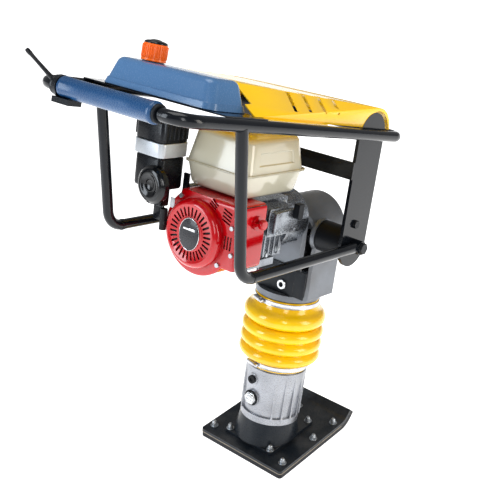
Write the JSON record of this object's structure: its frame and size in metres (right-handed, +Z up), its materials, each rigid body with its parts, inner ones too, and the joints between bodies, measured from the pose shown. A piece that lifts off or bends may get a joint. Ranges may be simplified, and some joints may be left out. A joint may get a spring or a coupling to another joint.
{
  "type": "jumping jack rammer",
  "caption": "Upright tamping rammer: spring-loaded foot, yellow bellows, crankcase with petrol engine, tube handle frame, hood and fuel tank.",
  "frame": {"origin": "on the flat underside of the sole, in the middle of its width, under the foot of the leg", "axes": "+X toward the toe of the shoe, +Y to the machine's left, +Z up; the leg leans 10 degrees toward +X"},
  "size_m": [0.7864, 0.426, 1.1162],
  "materials": {
    "black_laminate": "satin",
    "black_steel": "satin enamel",
    "black_iron": "painted black",
    "zinc": "zinc plated",
    "cast_grey": "sand cast",
    "plug_black": "matte",
    "sight_plug": "machined",
    "ground_steel": "ground",
    "spring_steel": "dark",
    "yellow_rubber": "glossy",
    "dark_bracket": "satin",
    "forged": "forged",
    "fan": "cast",
    "cleaner_black": "moulded",
    "bowl_black": "glossy",
    "band_silver": "satin",
    "red": "glossy",
    "pulley": "plain",
    "cream": "gloss enamel",
    "yellow_paint": "gloss enamel",
    "tank_blue": "semi gloss",
    "cap_orange": "satin",
    "grip_blue": "satin"
  },
  "bodies": {
    "foot": {"sole_plate": "black_laminate", "shoe_plate": "black_steel", "shoe_nuts": "zinc", "ankle_flange": "black_iron", "flange_nuts": "zinc", "leg_casting": "cast_grey", "filler_plug": "plug_black", "sight_plug": "sight_plug", "lower_clamp": "zinc", "spring_cylinder": "ground_steel", "lower_spring": "spring_steel", "upper_spring": "spring_steel", "bellows": "yellow_rubber"},
    "machine": {"guide_cylinder": "ground_steel", "upper_clamp": "zinc", "crankcase": "cast_grey", "crankcase_cover": "cast_grey", "cover_bolts": "zinc", "neck_bracket": "dark_bracket", "gear_bearings": "ground_steel", "rubber_buffers": "plug_black", "bell_housing": "cast_grey", "engine_block": "cast_grey", "cylinder_head": "cast_grey", "spark_plug": "plug_black", "muffler": "dark_bracket", "carburetor": "cast_grey", "air_cleaner_top": "cleaner_black", "air_cleaner_band": "band_silver", "air_cleaner_base": "cleaner_black", "air_cleaner_bowl": "bowl_black", "fan_shroud": "red", "recoil_cover": "red", "shroud_screws": "zinc", "engine_tank_lower": "cream", "engine_tank_upper": "cream"},
    "ram": {"piston_rod": "ground_steel", "spring_piston": "ground_steel"},
    "conrod": {"connecting_rod": "forged", "crank_pin": "ground_steel"},
    "crank": {"crank_gear": "forged"},
    "pinion": {"pinion_shaft": "ground_steel", "clutch_drum": "forged"},
    "rotor": {"crankshaft": "ground_steel", "flywheel_fan": "fan", "clutch_shoes": "forged"},
    "starter_reel": {"starter_pulley": "pulley"},
    "starter_handle": {"starter_grip": "cleaner_black"},
    "stop_switch": {"engine_switch": "red"},
    "handle": {"side_plates": "black_steel", "top_loop": "black_steel", "lower_tubes": "black_steel", "cross_members": "black_steel", "frame_bolts": "dark_bracket", "hood": "yellow_paint", "fuel_tank": "tank_blue", "grip": "grip_blue", "throttle_housing": "cleaner_black"},
    "cap": {"tank_cap": "cap_orange"},
    "throttle": {"throttle_lever": "cleaner_black"}
  },
  "joints": [
    {"name": "stroke", "type": "slide", "parent": "foot", "child": "machine", "axis": [0.1736, 0, 0.9848], "range_m": [-0.025, 0.03], "stiffness_N_per_m": 60000, "springref_m": 0.0088, "deforming": ["bellows", "lower_spring", "upper_spring"]},
    {"name": "handle_rock", "type": "hinge", "parent": "machine", "child": "handle", "pos_m": [0.06884, 0, 0.6082], "axis": [0, 1, 0], "range_deg": [-2, 2], "stiffness_Nm_per_rad": 9000},
    {"name": "ram_stroke", "type": "slide", "parent": "machine", "child": "ram", "axis": [0.1736, 0, 0.9848], "range_m": [0, 0.05], "deforming": ["lower_spring", "upper_spring"]},
    {"name": "conrod_swing", "type": "hinge", "parent": "ram", "child": "conrod", "pos_m": [0.06354, 0, 0.42839], "axis": [0.9848, 0, -0.1736], "range_deg": [-14, 14]},
    {"name": "crank_spin", "type": "hinge", "parent": "machine", "child": "crank", "pos_m": [0.08438, 0, 0.54657], "axis": [0.9848, 0, -0.1736], "continuous": true},
    {"name": "pinion_spin", "type": "hinge", "parent": "machine", "child": "pinion", "pos_m": [0.1, 0, 0.6352], "axis": [0.9848, 0, -0.1736], "continuous": true},
    {"name": "engine_spin", "type": "hinge", "parent": "machine", "child": "rotor", "pos_m": [-0.09696, 0, 0.66993], "axis": [0.9848, 0, -0.1736], "continuous": true},
    {"name": "starter_reel_spin", "type": "hinge", "parent": "machine", "child": "starter_reel", "pos_m": [-0.28801, 0, 0.70362], "axis": [0.9848, 0, -0.1736], "range_deg": [0, 530], "stiffness_Nm_per_rad": 0.05, "springref_deg": -171.89},
    {"name": "starter_pull", "type": "slide", "parent": "machine", "child": "starter_handle", "axis": [0, 1, 0], "range_m": [0, 0.5]},
    {"name": "switch_turn", "type": "hinge", "parent": "machine", "child": "stop_switch", "pos_m": [-0.21271, -0.119, 0.73908], "axis": [0, 1, 0], "range_deg": [0, 90]},
    {"name": "throttle_turn", "type": "hinge", "parent": "handle", "child": "throttle", "pos_m": [-0.5047, 0.139, 1.04391], "axis": [0, 1, 0], "range_deg": [0, 60]},
    {"name": "cap_turn", "type": "hinge", "parent": "handle", "child": "cap", "pos_m": [-0.32137, 0.068, 1.07579], "axis": [0.2689, 0, 0.9632], "range_deg": [0, 90]}
  ],
  "couplings": [
    {"joint": "pinion_spin", "follows": "crank_spin", "ratio": -3.5},
    {"joint": "starter_pull", "follows": "starter_reel_spin", "m_per_rad": 0.054}
  ]
}
